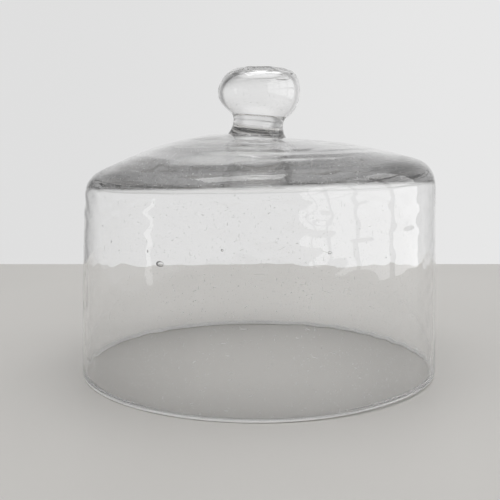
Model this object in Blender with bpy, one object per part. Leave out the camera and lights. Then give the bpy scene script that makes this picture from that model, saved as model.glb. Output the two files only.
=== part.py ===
"""Hand-blown glass cloche: a blown bell, a solid applied neck and a hollow blown knob.

Metres, +Z up. The origin is the centre of the rim's resting plane, so the cloche stands on z = 0.
The bell is slightly lopsided, as blown glass is: its outline runs from one shape on the -X side
to another on the +X side, and its crown leans a little where the neck was pressed on.
"""
import math

import bmesh
import bpy

SEGMENTS = 48                   # facets round every turned piece
GAP = 0.0003                    # clearance between pieces that touch

# Bell
RIM_RADIUS = 0.1370             # widest point of the fire-polished rim
RIM_BEAD_HEIGHT = 0.0030        # the rounded lip, below the straight wall
RIM_SEAT_OUTER = 0.1364         # the narrow flat ring that the bell rests on
RIM_SEAT_INNER = 0.1345
WALL_THICKNESS = 0.0025
APEX_THICKNESS = 0.0085         # the crown is far thicker than the wall
THICKENING_START = 0.0075       # where it begins, along the outline from the shoulder's start
THICKENING_ONSET = 0.0015       # length of the soft start
THICKENING_REACH = 0.0140       # length over which most of the thickening happens
APEX_HEIGHT = 0.1794
WALL_STEPS = 8
SHOULDER_STEPS = 8
CROWN_STEPS = 10

# Cubic curves of the outer outline as (radius, height), from the rim bead to the apex.
MINUS_X_OUTLINE = {
    "wall": ((0.1369, RIM_BEAD_HEIGHT), (0.1356, 0.045), (0.1340, 0.100), (0.1310, 0.136)),
    "shoulder": ((0.1310, 0.136), (0.1308, 0.145), (0.1244, 0.1508), (0.1159, 0.1544)),
    "crown": ((0.1159, 0.1544), (0.080, 0.171), (0.062, 0.1800), (0.0, APEX_HEIGHT)),
}
PLUS_X_OUTLINE = {
    "wall": ((0.1369, RIM_BEAD_HEIGHT), (0.1356, 0.045), (0.1346, 0.100), (0.1330, 0.140)),
    "shoulder": ((0.1330, 0.140), (0.1329, 0.152), (0.1274, 0.1592), (0.1184, 0.1617)),
    "crown": ((0.1184, 0.1617), (0.090, 0.1705), (0.050, 0.1772), (0.0, APEX_HEIGHT)),
}

# Lean of the crown and of the neck that stands on it
LEAN = math.tan(math.radians(4.2))
LEAN_REACH = 0.035              # how far from the axis the crown's lean fades

# Neck
NECK_OFFSET = -0.0015           # the neck was set a little to the -X side
NECK_TOP = 0.1936               # height of its top face on the axis
NECK_FOOT_RADIUS = 0.0220
NECK_WAIST_RADIUS = 0.0189
NECK_TOP_RADIUS = 0.0208
NECK_WAIST_AT = 0.62            # height of the waist, as a part of the neck's own height
NECK_STEPS = 8

# Knob
KNOB_RADIUS = 0.0310
KNOB_MIDDLE = 0.2112            # height of its widest point
KNOB_ROUNDNESS = 0.0245         # vertical half-axis of the ball's lower half
KNOB_FLAT_RADIUS = 0.0158       # edge of the ground flat top
KNOB_TOP = 0.2292
KNOB_BOTTOM = NECK_TOP + GAP    # height of its open bottom edge on the axis
KNOB_WALL = 0.0032
CAVITY_TOP = KNOB_TOP - 0.0042
KNOB_OPENING_RADIUS = 0.0172
KNOB_STEPS = 7
SMALL_SHARE = 0.001             # step along a curve for measuring its direction

# Upper half of the knob as (radius, height), from the flat's edge to the widest point.
# It is cut flatter on the -X side and left rounder on the +X side.
MINUS_X_SHOULDER = (
    (KNOB_FLAT_RADIUS, KNOB_TOP), (0.0230, 0.2280), (0.0310, 0.2200), (KNOB_RADIUS, KNOB_MIDDLE),
)
PLUS_X_SHOULDER = (
    (KNOB_FLAT_RADIUS, KNOB_TOP), (0.0265, 0.2292), (0.0312, 0.2225), (KNOB_RADIUS, KNOB_MIDDLE),
)


def mix(low, high, share):
    return low + (high - low) * share


def smooth(share):
    clamped = min(max(share, 0.0), 1.0)
    return clamped * clamped * (3.0 - 2.0 * clamped)


def curve_point(controls, share):
    """A point of a cubic Bezier curve."""
    rest = 1.0 - share
    weights = (rest ** 3, 3.0 * rest * rest * share, 3.0 * rest * share * share, share ** 3)
    radius = sum(weight * point[0] for weight, point in zip(weights, controls))
    height = sum(weight * point[1] for weight, point in zip(weights, controls))
    return radius, height


def blended(minus_x, plus_x, side):
    """Control points between those of the -X side (0) and those of the +X side (1)."""
    return [(mix(a[0], b[0], side), mix(a[1], b[1], side)) for a, b in zip(minus_x, plus_x)]


def lean_at(x, radius):
    return -x * LEAN * math.exp(-(radius / LEAN_REACH) ** 2)


def crown_height(x, y):
    """Height of the crown's outer surface near the axis."""
    radius = math.hypot(x, y)
    side = 0.5 + 0.5 * (x / radius if radius > 0.0 else 0.0)
    controls = blended(MINUS_X_OUTLINE["crown"], PLUS_X_OUTLINE["crown"], side)
    low = 0.0
    high = 1.0
    for _ in range(40):
        middle = 0.5 * (low + high)
        if curve_point(controls, middle)[0] > radius:
            low = middle
        else:
            high = middle
    return curve_point(controls, low)[1] + lean_at(x, radius)


def bell_outline(side):
    """Outer points (radius, height) from the rim bead to just before the apex."""
    points = []
    for stretch, steps in (("wall", WALL_STEPS), ("shoulder", SHOULDER_STEPS), ("crown", CROWN_STEPS)):
        controls = blended(MINUS_X_OUTLINE[stretch], PLUS_X_OUTLINE[stretch], side)
        points += [curve_point(controls, step / steps) for step in range(steps)]
    return points


def thickness_after(distance):
    """Wall thickness at a distance along the outline from the shoulder's start."""
    past = THICKENING_ONSET * math.log1p(math.exp((distance - THICKENING_START) / THICKENING_ONSET))
    return mix(APEX_THICKNESS, WALL_THICKNESS, math.exp(-past / THICKENING_REACH))


def inset_outline(points):
    """The inner surface: every point moved in along the outline's normal."""
    inner = []
    distance = -math.dist(points[0], points[WALL_STEPS])
    for index, (radius, height) in enumerate(points):
        before = points[max(index - 1, 0)]
        after = points[index + 1] if index + 1 < len(points) else (0.0, APEX_HEIGHT)
        run = after[0] - before[0]
        rise = after[1] - before[1]
        length = math.hypot(run, rise)
        distance += math.dist(before, (radius, height))
        depth = thickness_after(distance)
        inner.append((radius - depth * rise / length, height + depth * run / length))
    return inner


def angle_of(index):
    return 2.0 * math.pi * index / SEGMENTS


def add_body(name, rings, material):
    """One closed body through rings of points; a ring of a single point closes an end."""
    mesh = bpy.data.meshes.new(name)
    form = bmesh.new()
    loops = [[form.verts.new(point) for point in ring] for ring in rings]
    for lower, upper in zip(loops, loops[1:]):
        for index in range(SEGMENTS):
            following = (index + 1) % SEGMENTS
            if len(lower) == 1:
                form.faces.new((lower[0], upper[index], upper[following]))
            elif len(upper) == 1:
                form.faces.new((lower[index], lower[following], upper[0]))
            else:
                form.faces.new((lower[index], lower[following], upper[following], upper[index]))
    bmesh.ops.recalc_face_normals(form, faces=form.faces)
    form.to_mesh(mesh)
    form.free()
    mesh.shade_smooth()
    mesh.set_sharp_from_angle(angle=math.radians(35.0))
    mesh.materials.append(material)
    body = bpy.data.objects.new(name, mesh)
    bpy.context.scene.collection.objects.link(body)
    return body


def glass(name, colour):
    material = bpy.data.materials.new(name)
    material.use_nodes = True
    shader = material.node_tree.nodes["Principled BSDF"]
    shader.inputs["Base Color"].default_value = (*colour, 1.0)
    shader.inputs["Roughness"].default_value = 0.03
    shader.inputs["Metallic"].default_value = 0.0
    shader.inputs["IOR"].default_value = 1.5
    shader.inputs["Transmission Weight"].default_value = 1.0
    return material


def make_bell():
    """The blown shell: crown, shoulder and flaring wall down to the rounded rim."""
    columns = []
    for index in range(SEGMENTS):
        side = 0.5 + 0.5 * math.cos(angle_of(index))
        outer = bell_outline(side)
        inner = inset_outline(outer)
        lip = [
            (RIM_RADIUS, 0.5 * RIM_BEAD_HEIGHT),
            (RIM_SEAT_OUTER, 0.0),
            (RIM_SEAT_INNER, 0.0),
            (RIM_SEAT_INNER - 0.0004, 0.4 * RIM_BEAD_HEIGHT),
        ]
        columns.append(outer[::-1] + lip + inner)
    rings = [[(0.0, 0.0, APEX_HEIGHT)]]
    for row in range(len(columns[0])):
        ring = []
        for index in range(SEGMENTS):
            radius, height = columns[index][row]
            x = radius * math.cos(angle_of(index))
            y = radius * math.sin(angle_of(index))
            ring.append((x, y, height + lean_at(x, radius)))
        rings.append(ring)
    rings.append([(0.0, 0.0, APEX_HEIGHT - APEX_THICKNESS)])
    return add_body("bell", rings, glass("clear_blown_glass", (0.93, 0.95, 0.95)))


def neck_radius(share):
    """The waisted outline: wide at the foot, narrow at the waist, wider again at the top."""
    if share < NECK_WAIST_AT:
        flare = 1.0 - share / NECK_WAIST_AT
        return NECK_WAIST_RADIUS + (NECK_FOOT_RADIUS - NECK_WAIST_RADIUS) * flare ** 2
    flare = (share - NECK_WAIST_AT) / (1.0 - NECK_WAIST_AT)
    return NECK_WAIST_RADIUS + (NECK_TOP_RADIUS - NECK_WAIST_RADIUS) * flare ** 2


def neck_point(x, y, share):
    """A point of the neck between the crown that it stands on and its own sloping top face."""
    foot = crown_height(x, y) + GAP
    top = NECK_TOP - x * LEAN
    return x, y, mix(foot, top, share)


def make_neck():
    """The solid collar of glass that carries the knob."""

    def ring(radius, share):
        points = []
        for index in range(SEGMENTS):
            x = NECK_OFFSET * (1.0 - share) + radius * math.cos(angle_of(index))
            y = radius * math.sin(angle_of(index))
            points.append(neck_point(x, y, share))
        return points

    half_foot = 0.5 * NECK_FOOT_RADIUS
    rings = [[neck_point(NECK_OFFSET, 0.0, 0.0)], ring(half_foot, 0.0)]
    rings += [ring(neck_radius(step / NECK_STEPS), step / NECK_STEPS) for step in range(NECK_STEPS + 1)]
    rings.append([neck_point(0.0, 0.0, 1.0)])
    return add_body("neck", rings, glass("clear_applied_glass", (0.92, 0.94, 0.94)))


def knob_point(radius, height, angle):
    """A point of the knob; its lower half tips over on to the neck's sloping top face."""
    x = radius * math.cos(angle)
    share = (KNOB_MIDDLE - height) / (KNOB_MIDDLE - KNOB_BOTTOM)
    return x, radius * math.sin(angle), height - x * LEAN * smooth(share)


def knob_outer(side):
    """From inside the ground flat, over the shoulder and down to the open bottom edge."""
    controls = blended(MINUS_X_SHOULDER, PLUS_X_SHOULDER, side)
    points = [(0.5 * KNOB_FLAT_RADIUS, KNOB_TOP)]
    points += [curve_point(controls, step / KNOB_STEPS) for step in range(KNOB_STEPS)]
    for step in range(KNOB_STEPS + 1):
        height = mix(KNOB_MIDDLE, KNOB_BOTTOM, step / KNOB_STEPS)
        share = (KNOB_MIDDLE - height) / KNOB_ROUNDNESS
        points.append((KNOB_RADIUS * math.sqrt(1.0 - share * share), height))
    return points


def knob_inner(side):
    """The cavity, from its opening up to the middle of its nearly flat ceiling."""
    widest = KNOB_RADIUS - KNOB_WALL
    narrowing = KNOB_OPENING_RADIUS / widest
    roundness = (KNOB_MIDDLE - KNOB_BOTTOM) / math.sqrt(1.0 - narrowing * narrowing)
    points = []
    for step in range(KNOB_STEPS):
        height = mix(KNOB_BOTTOM, KNOB_MIDDLE, step / KNOB_STEPS)
        share = (KNOB_MIDDLE - height) / roundness
        points.append((widest * math.sqrt(1.0 - share * share), height))
    controls = blended(MINUS_X_SHOULDER, PLUS_X_SHOULDER, side)
    for step in range(KNOB_STEPS + 1):
        share = 1.0 - step / KNOB_STEPS
        radius, height = curve_point(controls, share)
        next_radius, next_height = curve_point(controls, share + SMALL_SHARE)
        run = next_radius - radius
        rise = next_height - height
        depth = mix(KNOB_TOP - CAVITY_TOP, KNOB_WALL, share) / math.hypot(run, rise)
        points.append((radius + depth * rise, height - depth * run))
    edge_radius, edge_height = points[-1]
    points.append((0.5 * edge_radius, 0.5 * (edge_height + CAVITY_TOP)))
    return points


def make_knob():
    """The hollow ball: ground flat on top, and open below where the neck closes it."""
    columns = []
    for index in range(SEGMENTS):
        side = 0.5 + 0.5 * math.cos(angle_of(index))
        columns.append(knob_outer(side) + knob_inner(side))
    rings = [[(0.0, 0.0, KNOB_TOP)]]
    for row in range(len(columns[0])):
        rings.append([knob_point(*columns[index][row], angle_of(index)) for index in range(SEGMENTS)])
    rings.append([(0.0, 0.0, CAVITY_TOP)])
    return add_body("knob", rings, glass("clear_knob_glass", (0.92, 0.94, 0.94)))


def main():
    for old in list(bpy.data.objects):
        bpy.data.objects.remove(old)
    make_bell()
    make_neck()
    make_knob()


main()
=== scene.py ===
"""Looks of the hand-blown glass cloche: fine glass surfaces, seeds, wear, a pale floor and soft light.

Metres, in the CAD frame: +Z up, origin at the centre of the rim's resting plane, camera on the -Y side.
The three visible pieces are fused glass. Where two of them meet, both have a clear contact face,
so light passes from one into the next as it does in one solid.
"""

import math

import bmesh
import bpy
import numpy as np
from mathutils import Matrix, Vector


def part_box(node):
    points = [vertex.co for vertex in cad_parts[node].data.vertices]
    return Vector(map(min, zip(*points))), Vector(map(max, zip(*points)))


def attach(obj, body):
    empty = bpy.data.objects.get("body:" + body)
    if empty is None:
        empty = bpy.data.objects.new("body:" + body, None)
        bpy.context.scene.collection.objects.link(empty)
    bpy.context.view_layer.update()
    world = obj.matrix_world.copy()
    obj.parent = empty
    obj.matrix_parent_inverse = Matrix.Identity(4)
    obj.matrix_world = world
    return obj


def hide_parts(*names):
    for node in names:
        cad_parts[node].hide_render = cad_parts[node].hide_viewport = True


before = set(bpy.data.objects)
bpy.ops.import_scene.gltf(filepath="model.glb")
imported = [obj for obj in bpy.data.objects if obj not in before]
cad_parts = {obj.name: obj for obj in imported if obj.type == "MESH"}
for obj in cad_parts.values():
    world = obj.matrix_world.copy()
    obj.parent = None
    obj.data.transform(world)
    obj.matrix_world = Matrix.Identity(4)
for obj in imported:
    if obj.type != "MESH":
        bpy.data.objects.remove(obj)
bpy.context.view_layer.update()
bell_low, bell_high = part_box("bell")
knob_low, knob_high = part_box("knob")

COLUMNS = 256                   # facets round every turned piece
JOIN_GAP = 0.00004              # between two fused pieces' contact faces
SHARP_ANGLE = math.radians(50.0)

# Bell
RIM_RADIUS = 0.5 * (bell_high.x - bell_low.x)
RIM_BEAD_HEIGHT = 0.0030
RIM_BEAD = 0.0013               # how far the rim's bead stands inside the wall
RIM_DEPTH = 0.0024              # from the widest part of the bead down to the surface it stands on
RIM_MARGIN = 0.0001             # how far the wall's foot stays inside the CAD model's widest ring
RIM_ROWS = 14
RIM_SQUARENESS = 0.8            # 1 is a half ellipse, 0 a square end
RIM_LIFT = 0.0016               # the rim is uneven, and stands clear of the surface at front right
RIM_LIFT_AT = math.radians(-47.0)
RIM_LIFT_WIDTH = math.radians(24.0)
RIM_LIFT_REACH = 0.020
WALL_THICKNESS = 0.0025
APEX_THICKNESS = 0.0085
THICKENING_START = 0.0075       # along the outline, from the start of the shoulder
THICKENING_ONSET = 0.0015
THICKENING_REACH = 0.014
APEX_HEIGHT = 0.1794
WALL_ROWS = 90
SHOULDER_ROWS = 34
CROWN_ROWS = 64
JOINT_ROWS = 6                  # rows of the crown under the neck

# Cubic curves of the outer outline as (radius, height), the same as the CAD model's.
WALL_FOOT = (RIM_RADIUS - RIM_MARGIN, RIM_BEAD_HEIGHT)
MINUS_X_OUTLINE = {
    "wall": (WALL_FOOT, (0.1356, 0.045), (0.1340, 0.100), (0.1310, 0.136)),
    "shoulder": ((0.1310, 0.136), (0.1308, 0.145), (0.1244, 0.1508), (0.1159, 0.1544)),
    "crown": ((0.1159, 0.1544), (0.080, 0.171), (0.062, 0.1800), (0.0, APEX_HEIGHT)),
}
PLUS_X_OUTLINE = {
    "wall": (WALL_FOOT, (0.1356, 0.045), (0.1346, 0.100), (0.1330, 0.140)),
    "shoulder": ((0.1330, 0.140), (0.1329, 0.152), (0.1274, 0.1592), (0.1184, 0.1617)),
    "crown": ((0.1184, 0.1617), (0.090, 0.1705), (0.050, 0.1772), (0.0, APEX_HEIGHT)),
}
LEAN = math.tan(math.radians(4.2))
LEAN_REACH = 0.035
BISECTIONS = 40                 # steps that find where the crown's curve passes a radius
CENTRING_REACH = 0.05           # over which the crown's rows shift from the neck's centre to the axis

# Unevenness of the blown surfaces, each a sum of waves: random seed, number of waves, shortest and
# longest wave along the outline, fewest and most waves round the bell, and height.
# The first three bend both surfaces alike, so they show in reflections only.
DENTS = (17, 30, (0.012, 0.035), (8, 40), 0.00005)
STREAKS = (18, 24, (0.080, 0.300), (20, 70), 0.00002)
WAVES = (19, 26, (0.009, 0.022), (5, 24), 0.00017)
BROAD_OUTSIDE = (11, 14, (0.055, 0.140), (1, 7), 0.00006)
BROAD_INSIDE = (12, 14, (0.055, 0.140), (1, 7), 0.00007)
FINE_OUTSIDE = (13, 26, (0.016, 0.045), (5, 26), 0.000004)
FINE_INSIDE = (14, 26, (0.016, 0.045), (5, 26), 0.000005)
TOOLED_OUTSIDE = (15, 18, (0.0065, 0.024), (0, 3), 0.000010)
TOOLED_INSIDE = (16, 18, (0.0075, 0.030), (0, 3), 0.000030)
REUSE_SQUEEZE = 1.3             # the broad patterns come a second time on the crown, this much finer
# Where they set in and fade out, as a height or a distance and how much further the change takes.
WAVES_ABOVE = (0.104, 0.016)
BEND_BELOW = (0.150, 0.012)
TOOLED_ABOVE = (0.140, 0.014)
BEND_FROM_RIM = 0.020
SURFACE_FROM_RIM = 0.010
SURFACE_FROM_NECK = 0.008

# Small gas bubbles in the glass, and the few larger ones: azimuth (degrees), height, and half-axes
# along the rim, up the wall and through it.
SEED_DRAW = 5
SEED_COUNT = 70
SEED_SMALLEST = 0.00016
SEED_SPREAD = 0.00042
SEED_DEPTHS = (0.35, 0.65)      # share of the glass's thickness
SEED_STRETCHES = (1.0, 2.2)
SEED_FLATNESS = 0.8
SEEDLESS_FOOT_ROWS = 4
SEEDLESS_TOP_ROWS = 12
LARGE_SEEDS = (
    (-122.0, 0.1050, 0.0006, 0.0009, 0.0006),
    (-100.0, 0.1090, 0.0008, 0.0008, 0.0006),
    (-118.0, 0.0988, 0.0030, 0.0019, 0.0007),
    (61.0, 0.0720, 0.0022, 0.0014, 0.0007),
    (160.0, 0.0910, 0.0007, 0.0012, 0.0006),
)

# Neck
NECK_OFFSET = -0.0015
NECK_TOP = 0.1936
NECK_FOOT_RADIUS = 0.0220
NECK_WAIST_RADIUS = 0.0189
NECK_TOP_RADIUS = 0.0208
NECK_WAIST_AT = 0.62            # share of the neck's height
NECK_ROWS = 40
NECK_TOP_ROWS = 4

# Knob
KNOB_RADIUS = 0.5 * (knob_high.x - knob_low.x)
KNOB_TOP = knob_high.z
KNOB_BOTTOM = NECK_TOP + JOIN_GAP
KNOB_MIDDLE = 0.2112
KNOB_FLAT_RADIUS = 0.0158
KNOB_WALL = 0.0032
KNOB_TOP_WALL = 0.0042
CAVITY_TOP = KNOB_TOP - KNOB_TOP_WALL
CAVITY_FLOOR_RADIUS = 0.0172
KNOB_ROWS = 40
FLAT_ROWS = 12
CEILING_ROWS = 12
SMALL_SHARE = 0.001             # of a curve, to find its direction
# Facets ground round the flat top: azimuth (degrees) and distance of their upper edge from the axis.
FACETS = (
    (-92.0, 0.0150), (-35.0, 0.0156), (28.0, 0.0151),
    (84.0, 0.0147), (146.0, 0.0153), (-151.0, 0.0146),
)
FACET_SLOPE = math.tan(math.radians(22.0))
MINUS_X_SHOULDER = (
    (KNOB_FLAT_RADIUS, KNOB_TOP), (0.0230, 0.2280), (0.0310, 0.2200), (KNOB_RADIUS, KNOB_MIDDLE),
)
PLUS_X_SHOULDER = (
    (KNOB_FLAT_RADIUS, KNOB_TOP), (0.0265, 0.2292), (0.0312, 0.2225), (KNOB_RADIUS, KNOB_MIDDLE),
)

# Glass
GLASS_IOR = 1.5
# Light that is trapped between the glass's two faces crosses it many times, and comes out grey.
ABSORPTION = 3.4                # per metre of glass
ABSORBED_TINT = (0.0, 0.0, 0.0)
MARK_CORE = 0.4                 # share of a speck's or scratch's width that is fully there
BELL_WEAR = 0.7                 # how strong the specks and scratches are
NECK_WEAR = 0.3
KNOB_WEAR = 0.5
SPECK_SCALE = 380.0             # cells in a metre, each with one speck of dust or none
SPECK_WIDTH = 0.10              # of a cell
SPECKS_MISSING = 0.15           # share of the cells without one
SCRATCH_SCALE = 330.0
SCRATCH_WIDTH = 0.085
SCRATCHES_MISSING = 0.2
# Hairline scratches: how their layer is turned (degrees), and how drawn out they are.
SCRATCH_LAYERS = (
    ((9.0, 6.0, 0.0), 15.0),
    ((90.0, 0.0, 90.0), 34.0),
    ((62.0, 10.0, 75.0), 30.0),
    ((-70.0, 0.0, 110.0), 22.0),
)
FROSTING = 0.90                 # how dull the rim's lowest edge is ground
FROSTING_FULL = 0.0010          # height up to which it is all there
FROSTING_END = 0.0030
SMEAR_SCALE = 30.0
SMEAR_DETAIL = 6.0
SMEAR_FROM = (0.52, 0.80)       # of the pattern, where a smear begins and where it is full
SMEAR_ROUGHNESS = 0.03

# Camera
CAMERA_DISTANCE = 0.617
CAMERA_HEIGHT = 0.1785
CAMERA_PITCH = math.radians(8.13)
CAMERA_LENS = 57.6
CAMERA_SHIFT = -0.018
SENSOR_WIDTH = 36.0
CLIP_START = 0.01
LIGHT_BOUNCES = 128

# Floor
FLOOR_BACK = 0.493              # its far edge, behind the axis
FLOOR_FRONT = -1.6
FLOOR_SIDE = 0.75
FLOOR_DROP = 0.0001             # below the surface that the rim stands on
FLOOR_ROUGHNESS = 0.55
FLOOR_CLOUD_SCALE = 3.0
FLOOR_CLOUD_DETAIL = 3.0
FLOOR_DARK = (0.60, 0.585, 0.56, 1.0)
FLOOR_LIGHT = (0.68, 0.665, 0.64, 1.0)

# Windows, which show in reflections only
WINDOW_X = 1.30
WINDOW_COLUMNS = 5
FIRST_COLUMN = 0.24             # place along Y of its furthest column of panes
FIRST_ROW = 0.05                # height of the middle of its lowest row
COLUMN_PITCH = 0.70
ROW_PITCH = 0.62
PANE_SIZE = (0.60, 0.54)
PANE_ROWS = (1.7, 1.9, 2.1)     # brightness of the panes, from the lowest row up
LEFT_PANE_AT = (-1.30, -0.53, 0.16)
LEFT_PANE_SIZE = (0.10, 0.44)
LEFT_PANE = 1.8
SKYLIGHT_AT = (-0.20, -0.10, 1.30)
SKYLIGHT_SIZE = (0.70, 0.50)
SKYLIGHT = 3.4

# The room's brightness by direction from the cloche: x to the right, y away from the camera and
# z up, each from -1 to 1. A pair of directions says where a change begins and where it ends.
WALL_BRIGHTNESS = (0.74, 0.80)  # at the left and at the right
WALL_ACROSS = (-0.30, 0.30)
UPPER_DIMNESS = (0.55, 0.30)    # how much darker the far wall is high up, at its left and right
UPPER_ACROSS = (-0.25, 0.25)
UPPER_FROM = (0.16, 0.50)
NEAR_SHARE = 0.35               # how much of that dimness the near wall has
NEAR_TO_FAR = (-0.35, 0.25)
# Parts of the far wall that lie in shade, left and right of the view: from x, to x, and how dark.
SHADED_WALLS = ((-0.80, -0.40, 0.50), (0.43, 0.76, 0.25))
SHADE_EDGE = 0.10
SHADE_BEHIND = (0.0, 0.3)
FRONT_BRIGHTNESS = 0.95         # of the wall behind the camera, where the far wall's is 1
FRONT_TO_MIDDLE = (-0.85, -0.25)
OVERHEAD_BRIGHTNESS = 1.0       # added to the wall's overhead
OVERHEAD_FROM = (0.70, 0.95)

angles = np.arange(COLUMNS) * (2.0 * math.pi / COLUMNS)
sides = 0.5 + 0.5 * np.cos(angles)      # 0 on the -X side, 1 on the +X side


# --- outlines ---------------------------------------------------------------------------------

def smooth(share):
    """A step from 0 to 1 that sets in and ends gently."""
    clamped = np.clip(share, 0.0, 1.0)
    return clamped * clamped * (3.0 - 2.0 * clamped)


def curve(controls, share):
    """Radius and height of a cubic Bezier curve; the controls may be arrays over the columns."""
    rest = 1.0 - share
    weights = (rest ** 3, 3.0 * rest * rest * share, 3.0 * rest * share * share, share ** 3)
    radius = sum(weight * point[0] for weight, point in zip(weights, controls))
    height = sum(weight * point[1] for weight, point in zip(weights, controls))
    return radius, height


def blended(minus_x, plus_x, side):
    """Control points between those of the -X side (0) and those of the +X side (1)."""
    return [(a[0] + (b[0] - a[0]) * side, a[1] + (b[1] - a[1]) * side) for a, b in zip(minus_x, plus_x)]


def crown_height(x, y):
    """Height of the crown's outer surface at points of the plane."""
    radius = np.hypot(x, y)
    side = 0.5 + 0.5 * x / np.maximum(radius, 1e-9)
    controls = blended(MINUS_X_OUTLINE["crown"], PLUS_X_OUTLINE["crown"], side)
    low = np.zeros_like(radius)
    high = np.ones_like(radius)
    for _ in range(BISECTIONS):
        middle = 0.5 * (low + high)
        outside = curve(controls, middle)[0] > radius
        low = np.where(outside, middle, low)
        high = np.where(outside, high, middle)
    lean = -x * LEAN * np.exp(-(radius / LEAN_REACH) ** 2)
    return curve(controls, low)[1] + lean


def ripples(seed, count, along, around, strength):
    """A smooth seeded pattern over (angle, distance along the outline), as a sum of waves."""
    draw = np.random.default_rng(seed)
    turns = draw.integers(around[0], around[1] + 1, count)
    pitches = 2.0 * math.pi / draw.uniform(along[0], along[1], count)
    phases = draw.uniform(0.0, 2.0 * math.pi, count)
    signs = draw.choice((-1.0, 1.0), count)

    def height(angle, distance):
        total = np.zeros(np.broadcast(angle, distance).shape)
        for turn, pitch, phase, sign in zip(turns, pitches, phases, signs):
            total += np.sin(sign * turn * angle + pitch * distance + phase)
        return strength * total / math.sqrt(count)

    return height


# --- meshes -----------------------------------------------------------------------------------

def grid_points(radius, height):
    """Points of a turned row, with a radius and a height for each column."""
    x = radius * np.cos(angles)
    y = radius * np.sin(angles)
    return np.stack([x, y, np.broadcast_to(height, x.shape)], axis=-1)


def add_bubble(form, centre, axes, turn):
    """An inward-facing ellipsoid inside the glass."""
    place = Matrix.Translation(centre) @ turn @ Matrix.Diagonal((*axes, 1.0))
    made = bmesh.ops.create_icosphere(form, subdivisions=2, radius=1.0, matrix=place)
    faces = {face for vert in made["verts"] for face in vert.link_faces}
    bmesh.ops.reverse_faces(form, faces=list(faces))
    for face in faces:
        face.smooth = True


def add_piece(name, rings, contact, material, bubbles=()):
    """One closed body through rings of points.

    A ring of a single point closes an end. contact lists the bands, by their first ring, whose
    faces touch the next piece. bubbles are ellipsoids, each a centre, its half-axes and its turn.
    """
    mesh = bpy.data.meshes.new(name)
    form = bmesh.new()
    joined = form.faces.layers.float.new("joined")
    loops = [[form.verts.new(point) for point in ring] for ring in rings]
    for band, (lower, upper) in enumerate(zip(loops, loops[1:])):
        for index in range(COLUMNS):
            following = (index + 1) % COLUMNS
            if len(lower) == 1:
                face = form.faces.new((lower[0], upper[index], upper[following]))
            elif len(upper) == 1:
                face = form.faces.new((lower[index], lower[following], upper[0]))
            else:
                corners = (lower[index], lower[following], upper[following], upper[index])
                face = form.faces.new(corners)
            face.smooth = True
            face[joined] = float(band in contact)
    bmesh.ops.recalc_face_normals(form, faces=form.faces)
    for bubble in bubbles:
        add_bubble(form, *bubble)
    form.to_mesh(mesh)
    form.free()
    mesh.set_sharp_from_angle(angle=SHARP_ANGLE)
    mesh.materials.append(material)
    piece = bpy.data.objects.new(name, mesh)
    bpy.context.scene.collection.objects.link(piece)
    return piece


def crown_row(radius):
    """A ring on the crown that is centred under the neck near it, and on the axis further out."""
    centre = NECK_OFFSET * (1.0 - smooth((radius - NECK_FOOT_RADIUS) / CENTRING_REACH))
    x = centre + radius * np.cos(angles)
    y = radius * np.sin(angles)
    return np.stack([x, y, crown_height(x, y)], axis=-1)


def bell_base():
    """Points of the bell's even outer surface, in rows from the rim's bead up to near the apex."""
    rows = []
    for stretch, steps in (("wall", WALL_ROWS), ("shoulder", SHOULDER_ROWS)):
        controls = blended(MINUS_X_OUTLINE[stretch], PLUS_X_OUTLINE[stretch], sides)
        for step in range(steps):
            radius, height = curve(controls, step / steps)
            rows.append(grid_points(radius, height))
    start = curve(blended(MINUS_X_OUTLINE["crown"], PLUS_X_OUTLINE["crown"], sides), 0.0)[0]
    for step in range(CROWN_ROWS + 1):
        radius = start + (NECK_FOOT_RADIUS - start) * step / CROWN_ROWS
        rows.append(crown_row(radius))
    for step in range(1, JOINT_ROWS):
        rows.append(crown_row(np.full(COLUMNS, NECK_FOOT_RADIUS * (1.0 - step / JOINT_ROWS))))
    return np.array(rows)


def surface_normals(rows):
    """Outward unit normals of rows by columns of points."""
    along = np.gradient(rows, axis=0)
    around = np.roll(rows, -1, axis=1) - np.roll(rows, 1, axis=1)
    normals = np.cross(around, along)
    return normals / np.linalg.norm(normals, axis=-1, keepdims=True)


def turn_from(bearing):
    """How far each column is from a bearing, from -pi to pi."""
    return (angles - bearing + math.pi) % (2.0 * math.pi) - math.pi


def wall_bend(base, distance):
    """How far the bell's wall, as a whole, stands out from the even surface."""
    bent = ripples(*DENTS)(angles, distance) + ripples(*STREAKS)(angles, distance)
    height = base[..., 2]
    bent += ripples(*WAVES)(angles, distance) * smooth((height - WAVES_ABOVE[0]) / WAVES_ABOVE[1])
    below = smooth((BEND_BELOW[0] - height) / BEND_BELOW[1])
    return bent * (smooth(distance / BEND_FROM_RIM) * below)


def bell_thickness(distance):
    """The wall is even up to the shoulder, and thickens from there to the apex."""
    past_bend = distance - distance[WALL_ROWS] - THICKENING_START
    past_bend = THICKENING_ONSET * np.logaddexp(0.0, past_bend / THICKENING_ONSET)
    thickened = 1.0 - np.exp(-past_bend / THICKENING_REACH)
    return WALL_THICKNESS + (APEX_THICKNESS - WALL_THICKNESS) * thickened


def rim_lip(outer, inner, lift):
    """Rows round the rim's rounded end, from its outer edge to its inner one."""
    outer_radius = np.hypot(outer[0, :, 0], outer[0, :, 1])
    inner_radius = np.hypot(inner[0, :, 0], inner[0, :, 1]) - RIM_BEAD
    middle = 0.5 * (outer_radius + inner_radius)
    half = 0.5 * (outer_radius - inner_radius)
    rows = []
    for step in range(1, RIM_ROWS):
        turn = math.pi * step / RIM_ROWS
        side = np.sign(math.cos(turn)) * abs(math.cos(turn)) ** RIM_SQUARENESS
        drop = RIM_DEPTH * (1.0 - math.sin(turn) ** RIM_SQUARENESS)
        rows.append(grid_points(middle + half * side, drop + lift))
    return rows


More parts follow.
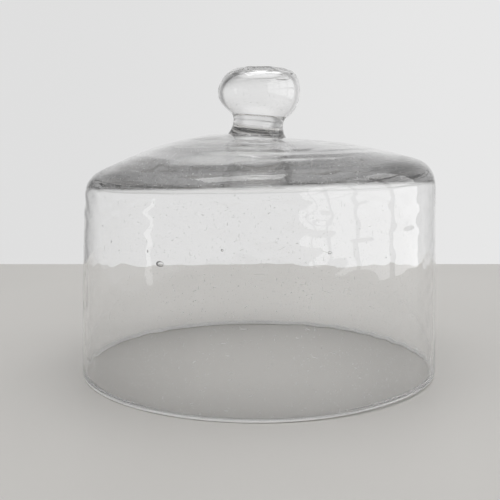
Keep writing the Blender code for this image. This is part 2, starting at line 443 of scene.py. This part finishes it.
def make_bell(material):
    base = bell_base()
    normals = surface_normals(base)
    radius = np.hypot(base[..., 0], base[..., 1])
    steps = np.linalg.norm(np.diff(base, axis=0), axis=-1)
    distance = np.concatenate([np.zeros((1, COLUMNS)), np.cumsum(steps, axis=0)])
    base = base + normals * wall_bend(base, distance)[..., None]

    # The two surfaces differ a little everywhere, and most on the crown, where tools shaped it.
    from_rim = smooth(distance / SURFACE_FROM_RIM)
    fade = smooth((radius - NECK_FOOT_RADIUS) / SURFACE_FROM_NECK) * from_rim
    on_crown = smooth((base[..., 2] - TOOLED_ABOVE[0]) / TOOLED_ABOVE[1])
    broad_outside = ripples(*BROAD_OUTSIDE)
    broad_inside = ripples(*BROAD_INSIDE)
    out = broad_outside(angles, distance) + ripples(*FINE_OUTSIDE)(angles, distance)
    tooled = ripples(*TOOLED_OUTSIDE)(angles, distance)
    out += on_crown * (tooled + broad_outside(angles + 1.0, distance * REUSE_SQUEEZE))
    inn = broad_inside(angles, distance) + ripples(*FINE_INSIDE)(angles, distance)
    tooled = ripples(*TOOLED_INSIDE)(angles, distance)
    inn += on_crown * (tooled + broad_inside(angles + 2.0, distance * REUSE_SQUEEZE))

    thickness = bell_thickness(distance)
    outer = base + normals * (out * fade)[..., None]
    inner = base - normals * (thickness + inn * from_rim)[..., None]

    lift = RIM_LIFT * np.exp(-(turn_from(RIM_LIFT_AT) / RIM_LIFT_WIDTH) ** 2)
    lip = rim_lip(outer, inner, lift)
    bead = RIM_BEAD * np.exp(-(inner[..., 2] / RIM_BEAD_HEIGHT) ** 2)
    inner -= normals * bead[..., None]
    outer[..., 2] += lift * np.exp(-outer[..., 2] / RIM_LIFT_REACH)
    inner[..., 2] += lift * np.exp(-inner[..., 2] / RIM_LIFT_REACH)

    apex = (NECK_OFFSET, 0.0, float(crown_height(np.array(NECK_OFFSET), np.array(0.0))))
    rings = [[apex], *outer[::-1], *lip, *inner]
    rings.append([(apex[0], apex[1], apex[2] - APEX_THICKNESS)])
    contact = set(range(JOINT_ROWS))
    bubbles = bell_seeds(base, normals, thickness)
    return add_piece("blown_bell", rings, contact, material, bubbles)


def bell_seeds(base, normals, thickness):
    """Small gas bubbles inside the wall, drawn out along the way the glass was blown."""
    draw = np.random.default_rng(SEED_DRAW)
    last_row = WALL_ROWS + SHOULDER_ROWS + CROWN_ROWS - SEEDLESS_TOP_ROWS
    seeds = []
    for _ in range(SEED_COUNT):
        row = int(draw.integers(SEEDLESS_FOOT_ROWS, last_row))
        column = int(draw.integers(0, COLUMNS))
        depth = thickness[row, column] * draw.uniform(*SEED_DEPTHS)
        centre = Vector(base[row, column] - normals[row, column] * depth)
        size = SEED_SMALLEST + SEED_SPREAD * draw.random() ** 3
        axes = (size * draw.uniform(*SEED_STRETCHES), size, size * SEED_FLATNESS)
        seeds.append((centre, axes, turn_to(normals[row, column])))
    for azimuth, height, *axes in LARGE_SEEDS:
        column = round(azimuth / 360.0 * COLUMNS) % COLUMNS
        row = int(np.argmin(abs(base[:WALL_ROWS, column, 2] - height)))
        centre = Vector(base[row, column] - normals[row, column] * 0.5 * WALL_THICKNESS)
        seeds.append((centre, axes, turn_to(normals[row, column])))
    return seeds


def turn_to(normal):
    """The rotation that turns +Z to a normal."""
    return Vector(normal).to_track_quat("Z", "Y").to_matrix().to_4x4()


def neck_row(radius, share):
    """A ring of the neck, from its foot on the crown (0) to its leaning top (1)."""
    x = NECK_OFFSET * (1.0 - share) + radius * np.cos(angles)
    y = radius * np.sin(angles)
    foot = crown_height(x, y) + JOIN_GAP
    top = NECK_TOP - x * LEAN
    return np.stack([x, y, foot + (top - foot) * share], axis=-1)


def neck_flare(share):
    """How much wider than its waist the neck is, at a share of its height."""
    if share < NECK_WAIST_AT:
        return (NECK_FOOT_RADIUS - NECK_WAIST_RADIUS) * (1.0 - share / NECK_WAIST_AT) ** 2
    above = (share - NECK_WAIST_AT) / (1.0 - NECK_WAIST_AT)
    return (NECK_TOP_RADIUS - NECK_WAIST_RADIUS) * above ** 2


def make_neck(material):
    rows = []
    for step in range(1, JOINT_ROWS + 1):
        rows.append(neck_row(NECK_FOOT_RADIUS * step / JOINT_ROWS, 0.0))
    for step in range(1, NECK_ROWS + 1):
        share = step / NECK_ROWS
        rows.append(neck_row(NECK_WAIST_RADIUS + neck_flare(share), share))
    first_top = len(rows)
    for step in range(NECK_TOP_ROWS):
        rows.append(neck_row(CAVITY_FLOOR_RADIUS * (1.0 - step / NECK_TOP_ROWS), 1.0))
    foot = tuple(neck_row(np.zeros(COLUMNS), 0.0)[0])
    top = tuple(neck_row(np.zeros(COLUMNS), 1.0)[0])
    contact = set(range(JOINT_ROWS)) | {first_top}
    return add_piece("applied_neck", [[foot], *rows, [top]], contact, material)


def knob_row(radius, height):
    """A ring of the knob; below its middle it leans more and more, until it meets the neck's top."""
    x = radius * np.cos(angles)
    y = radius * np.sin(angles)
    share = (KNOB_MIDDLE - height) / (KNOB_MIDDLE - KNOB_BOTTOM)
    return np.stack([x, y, height - x * LEAN * smooth(share)], axis=-1)


def ground_row(radius, height):
    """A ring of the top, cut down wherever it stands above one of the ground facets."""
    row = knob_row(radius, height)
    for azimuth, reach in FACETS:
        turn = math.radians(azimuth)
        outside = row[:, 0] * math.cos(turn) + row[:, 1] * math.sin(turn) - reach
        row[:, 2] = np.minimum(row[:, 2], KNOB_TOP - np.maximum(outside, 0.0) * FACET_SLOPE)
    return row


def lower_half_row(widest, end_radius, share):
    """A ring below the middle, from the widest one (0) to one of end_radius at the bottom (1)."""
    lowest = math.sqrt(1.0 - (end_radius / widest) ** 2)
    turn = math.asin(lowest) * share
    radius = np.full(COLUMNS, widest * math.cos(turn))
    height = KNOB_MIDDLE - (KNOB_MIDDLE - KNOB_BOTTOM) * math.sin(turn) / lowest
    return knob_row(radius, height)


def cavity_shoulder_row(controls, share):
    """A ring of the cavity, one wall's thickness inside the shoulder and square to it."""
    radius, height = curve(controls, share)
    next_radius, next_height = curve(controls, share + SMALL_SHARE)
    run = next_radius - radius
    rise = next_height - height
    wall = KNOB_TOP_WALL + (KNOB_WALL - KNOB_TOP_WALL) * share
    wall = wall / np.hypot(run, rise)
    return knob_row(radius + wall * rise, height - wall * run)


def make_knob(material):
    controls = blended(MINUS_X_SHOULDER, PLUS_X_SHOULDER, sides)
    rows = []
    for step in range(1, FLAT_ROWS):
        rows.append(ground_row(np.full(COLUMNS, KNOB_FLAT_RADIUS * step / FLAT_ROWS), KNOB_TOP))
    for step in range(KNOB_ROWS):
        rows.append(ground_row(*curve(controls, step / KNOB_ROWS)))
    for step in range(KNOB_ROWS + 1):
        rows.append(lower_half_row(KNOB_RADIUS, NECK_TOP_RADIUS, step / KNOB_ROWS))
    joint = len(rows)
    for step in range(KNOB_ROWS):
        rows.append(lower_half_row(KNOB_RADIUS - KNOB_WALL, CAVITY_FLOOR_RADIUS, 1.0 - step / KNOB_ROWS))
    for step in range(KNOB_ROWS + 1):
        rows.append(cavity_shoulder_row(controls, 1.0 - step / KNOB_ROWS))
    ceiling = rows[-1]
    for step in range(1, CEILING_ROWS):
        share = step / CEILING_ROWS
        shares = np.array([share, share, share * (2.0 - share)])
        rows.append(ceiling + (np.array([0.0, 0.0, CAVITY_TOP]) - ceiling) * shares)
    rings = [[(0.0, 0.0, KNOB_TOP)], *rows, [(0.0, 0.0, CAVITY_TOP)]]
    return add_piece("hollow_knob", rings, {joint}, material)


# --- materials --------------------------------------------------------------------------------

def new_material(name):
    material = bpy.data.materials.new(name)
    material.use_nodes = True
    material.node_tree.nodes.clear()
    return material


def add(tree, kind, inputs=None, **properties):
    """A new node, with its properties and the values of its inputs, by name."""
    node = tree.nodes.new(kind)
    for name, value in properties.items():
        setattr(node, name, value)
    for name, value in (inputs or {}).items():
        node.inputs[name].default_value = value
    return node


def ramp_between(tree, source, low, high, low_value, high_value):
    """A smooth step from one value, where source is low, to another, where it is high."""
    limits = {"From Min": low, "From Max": high, "To Min": low_value, "To Max": high_value}
    step = add(tree, "ShaderNodeMapRange", limits, interpolation_type="SMOOTHSTEP")
    tree.links.new(source, step.inputs["Value"])
    return step.outputs["Result"]


def combine(tree, operation, first, second):
    """What an operation makes of two values, each a number or a node's output."""
    node = add(tree, "ShaderNodeMath", operation=operation)
    for index, value in enumerate((first, second)):
        if isinstance(value, float):
            node.inputs[index].default_value = value
        else:
            tree.links.new(value, node.inputs[index])
    return node.outputs[0]


def marks(tree, place, turn, stretch, scale, width, missing):
    """A mask of small drawn-out marks: 1 in their middle, 0 between them."""
    placing = {"Rotation": [math.radians(angle) for angle in turn], "Scale": (1.0, 1.0, stretch)}
    turned = add(tree, "ShaderNodeMapping", placing, vector_type="TEXTURE")
    tree.links.new(place, turned.inputs["Vector"])
    cells = add(tree, "ShaderNodeTexVoronoi", {"Scale": scale})
    tree.links.new(turned.outputs[0], cells.inputs["Vector"])
    spot = ramp_between(tree, cells.outputs["Distance"], MARK_CORE * width, width, 1.0, 0.0)
    shades = add(tree, "ShaderNodeSeparateColor")
    tree.links.new(cells.outputs["Color"], shades.inputs[0])
    kept = combine(tree, "GREATER_THAN", shades.outputs[0], missing)
    return combine(tree, "MULTIPLY", spot, kept)


def glass_material(name, wear):
    """Clear blown glass with smears, hairline scratches, dust and a frosted edge of the rim.

    wear is how strong the scratches and the dust are. Faces marked as joined don't show at all.
    """
    material = new_material(name)
    tree = material.node_tree
    link = tree.links.new
    output = add(tree, "ShaderNodeOutputMaterial")
    clear = {"Base Color": (1.0, 1.0, 1.0, 1.0), "IOR": GLASS_IOR}
    shader = add(tree, "ShaderNodeBsdfPrincipled", clear)
    link(shader.outputs[0], output.inputs["Surface"])

    place = add(tree, "ShaderNodeTexCoord").outputs["Object"]
    worn = marks(tree, place, (0.0, 0.0, 0.0), 1.0, SPECK_SCALE, SPECK_WIDTH, SPECKS_MISSING)
    for turn, stretch in SCRATCH_LAYERS:
        layer = marks(tree, place, turn, stretch, SCRATCH_SCALE, SCRATCH_WIDTH, SCRATCHES_MISSING)
        worn = combine(tree, "MAXIMUM", worn, layer)
    parts = add(tree, "ShaderNodeSeparateXYZ")
    link(place, parts.inputs[0])
    frosted = ramp_between(tree, parts.outputs["Z"], FROSTING_FULL, FROSTING_END, FROSTING, 0.0)
    clouded = combine(tree, "MAXIMUM", combine(tree, "MULTIPLY", worn, wear), frosted)
    link(combine(tree, "SUBTRACT", 1.0, clouded), shader.inputs["Transmission Weight"])

    smears = add(tree, "ShaderNodeTexNoise", {"Scale": SMEAR_SCALE, "Detail": SMEAR_DETAIL})
    link(place, smears.inputs["Vector"])
    rough = ramp_between(tree, smears.outputs["Fac"], *SMEAR_FROM, 0.0, SMEAR_ROUGHNESS)
    link(combine(tree, "MAXIMUM", rough, clouded), shader.inputs["Roughness"])

    joined = add(tree, "ShaderNodeAttribute", attribute_name="joined")
    link(combine(tree, "SUBTRACT", 1.0, joined.outputs["Fac"]), shader.inputs["Alpha"])
    depth = {"Color": (*ABSORBED_TINT, 1.0), "Density": ABSORPTION}
    absorption = add(tree, "ShaderNodeVolumeAbsorption", depth)
    link(absorption.outputs[0], output.inputs["Volume"])
    return material


def floor_material():
    """Plain and pale, with faint broad clouds in its colour."""
    material = new_material("pale_floor")
    tree = material.node_tree
    link = tree.links.new
    output = add(tree, "ShaderNodeOutputMaterial")
    shader = add(tree, "ShaderNodeBsdfPrincipled", {"Roughness": FLOOR_ROUGHNESS})
    place = add(tree, "ShaderNodeTexCoord")
    cloud = {"Scale": FLOOR_CLOUD_SCALE, "Detail": FLOOR_CLOUD_DETAIL}
    clouds = add(tree, "ShaderNodeTexNoise", cloud)
    ramp = add(tree, "ShaderNodeValToRGB")
    ramp.color_ramp.elements[0].color = FLOOR_DARK
    ramp.color_ramp.elements[1].color = FLOOR_LIGHT
    link(place.outputs["Object"], clouds.inputs["Vector"])
    link(clouds.outputs["Fac"], ramp.inputs["Fac"])
    link(ramp.outputs["Color"], shader.inputs["Base Color"])
    link(shader.outputs[0], output.inputs["Surface"])
    return material


# --- stage ------------------------------------------------------------------------------------

def make_floor():
    corners = [
        (-FLOOR_SIDE, FLOOR_FRONT, -FLOOR_DROP), (FLOOR_SIDE, FLOOR_FRONT, -FLOOR_DROP),
        (FLOOR_SIDE, FLOOR_BACK, -FLOOR_DROP), (-FLOOR_SIDE, FLOOR_BACK, -FLOOR_DROP),
    ]
    mesh = bpy.data.meshes.new("floor")
    mesh.from_pydata(corners, [], [(0, 1, 2, 3)])
    mesh.materials.append(floor_material())
    floor = bpy.data.objects.new("floor", mesh)
    bpy.context.scene.collection.objects.link(floor)


def strip_shade(tree, x, y, low, high, darkness):
    """What a shaded strip of the far wall, between two directions in x, leaves of its brightness."""
    right_of = ramp_between(tree, x, low - SHADE_EDGE, low + SHADE_EDGE, 0.0, 1.0)
    left_of = ramp_between(tree, x, high - SHADE_EDGE, high + SHADE_EDGE, 1.0, 0.0)
    behind = ramp_between(tree, y, *SHADE_BEHIND, 0.0, 1.0)
    inside = combine(tree, "MULTIPLY", combine(tree, "MULTIPLY", right_of, left_of), behind)
    return combine(tree, "SUBTRACT", 1.0, combine(tree, "MULTIPLY", inside, darkness))


def make_world():
    """A pale room, brighter overhead, whose far wall is darker high up and in two strips."""
    world = bpy.data.worlds.new("studio")
    bpy.context.scene.world = world
    world.use_nodes = True
    tree = world.node_tree
    tree.nodes.clear()
    output = add(tree, "ShaderNodeOutputWorld")
    background = add(tree, "ShaderNodeBackground", {"Color": (1.0, 1.0, 1.0, 1.0)})
    place = add(tree, "ShaderNodeTexCoord")
    parts = add(tree, "ShaderNodeSeparateXYZ")
    tree.links.new(place.outputs["Generated"], parts.inputs[0])
    x = parts.outputs["X"]
    y = parts.outputs["Y"]
    z = parts.outputs["Z"]

    room = ramp_between(tree, x, *WALL_ACROSS, *WALL_BRIGHTNESS)
    for strip in SHADED_WALLS:
        room = combine(tree, "MULTIPLY", room, strip_shade(tree, x, y, *strip))
    high_up = ramp_between(tree, z, *UPPER_FROM, 0.0, 1.0)
    behind = ramp_between(tree, y, *NEAR_TO_FAR, NEAR_SHARE, 1.0)
    dim = combine(tree, "MULTIPLY", high_up, behind)
    dim = combine(tree, "MULTIPLY", dim, ramp_between(tree, x, *UPPER_ACROSS, *UPPER_DIMNESS))
    kept = combine(tree, "SUBTRACT", 1.0, dim)
    front = ramp_between(tree, y, *FRONT_TO_MIDDLE, FRONT_BRIGHTNESS, 1.0)
    room = combine(tree, "MULTIPLY", room, combine(tree, "MULTIPLY", kept, front))
    overhead = ramp_between(tree, z, *OVERHEAD_FROM, 0.0, OVERHEAD_BRIGHTNESS)
    room = combine(tree, "ADD", room, overhead)
    tree.links.new(room, background.inputs["Strength"])
    tree.links.new(background.outputs[0], output.inputs["Surface"])


def add_pane(name, centre, aim, size, brightness):
    """One evenly bright pane, facing along aim, that shows in reflections only."""
    width, height = size
    light = bpy.data.lights.new(name, "AREA")
    light.shape = "RECTANGLE"
    light.size = width
    light.size_y = height
    light.energy = brightness * math.pi * width * height
    pane = bpy.data.objects.new(name, light)
    pane.location = centre
    pane.rotation_mode = "QUATERNION"
    pane.rotation_quaternion = Vector(aim).to_track_quat("-Z", "Y")
    pane.visible_camera = False
    pane.visible_transmission = False
    pane.visible_diffuse = False
    bpy.context.scene.collection.objects.link(pane)


def make_windows():
    """A wide window in the right side of the room, a narrow one on the left and a small one above."""
    for column in range(WINDOW_COLUMNS):
        for row, brightness in enumerate(PANE_ROWS):
            centre = (WINDOW_X, FIRST_COLUMN - COLUMN_PITCH * column, FIRST_ROW + ROW_PITCH * row)
            add_pane(f"pane_{column}_{row}", centre, (-1.0, 0.0, 0.0), PANE_SIZE, brightness)
    add_pane("left_pane", LEFT_PANE_AT, (1.0, 0.0, 0.0), LEFT_PANE_SIZE, LEFT_PANE)
    add_pane("skylight", SKYLIGHT_AT, (0.0, 0.0, -1.0), SKYLIGHT_SIZE, SKYLIGHT)


def make_camera():
    data = bpy.data.cameras.new("camera")
    data.lens = CAMERA_LENS
    data.sensor_width = SENSOR_WIDTH
    data.shift_x = CAMERA_SHIFT
    data.clip_start = CLIP_START
    camera = bpy.data.objects.new("camera", data)
    camera.location = (0.0, -CAMERA_DISTANCE, CAMERA_HEIGHT)
    camera.rotation_euler = (0.5 * math.pi - CAMERA_PITCH, 0.0, 0.0)
    bpy.context.scene.collection.objects.link(camera)
    bpy.context.scene.camera = camera


def set_light_paths():
    """Plain colours, and enough bounces for light to pass every glass surface in its way."""
    scene = bpy.context.scene
    scene.view_settings.view_transform = "Standard"
    scene.cycles.max_bounces = LIGHT_BOUNCES
    scene.cycles.transmission_bounces = LIGHT_BOUNCES
    scene.cycles.glossy_bounces = LIGHT_BOUNCES
    scene.cycles.transparent_max_bounces = LIGHT_BOUNCES


def finish_piece(piece, node):
    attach(piece, "root")
    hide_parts(node)


make_camera()
set_light_paths()
make_world()
make_windows()
make_floor()
bell_glass = glass_material("bell_glass", BELL_WEAR)
neck_glass = glass_material("neck_glass", NECK_WEAR)
knob_glass = glass_material("knob_glass", KNOB_WEAR)
finish_piece(make_bell(bell_glass), "bell")
finish_piece(make_neck(neck_glass), "neck")
finish_piece(make_knob(knob_glass), "knob")
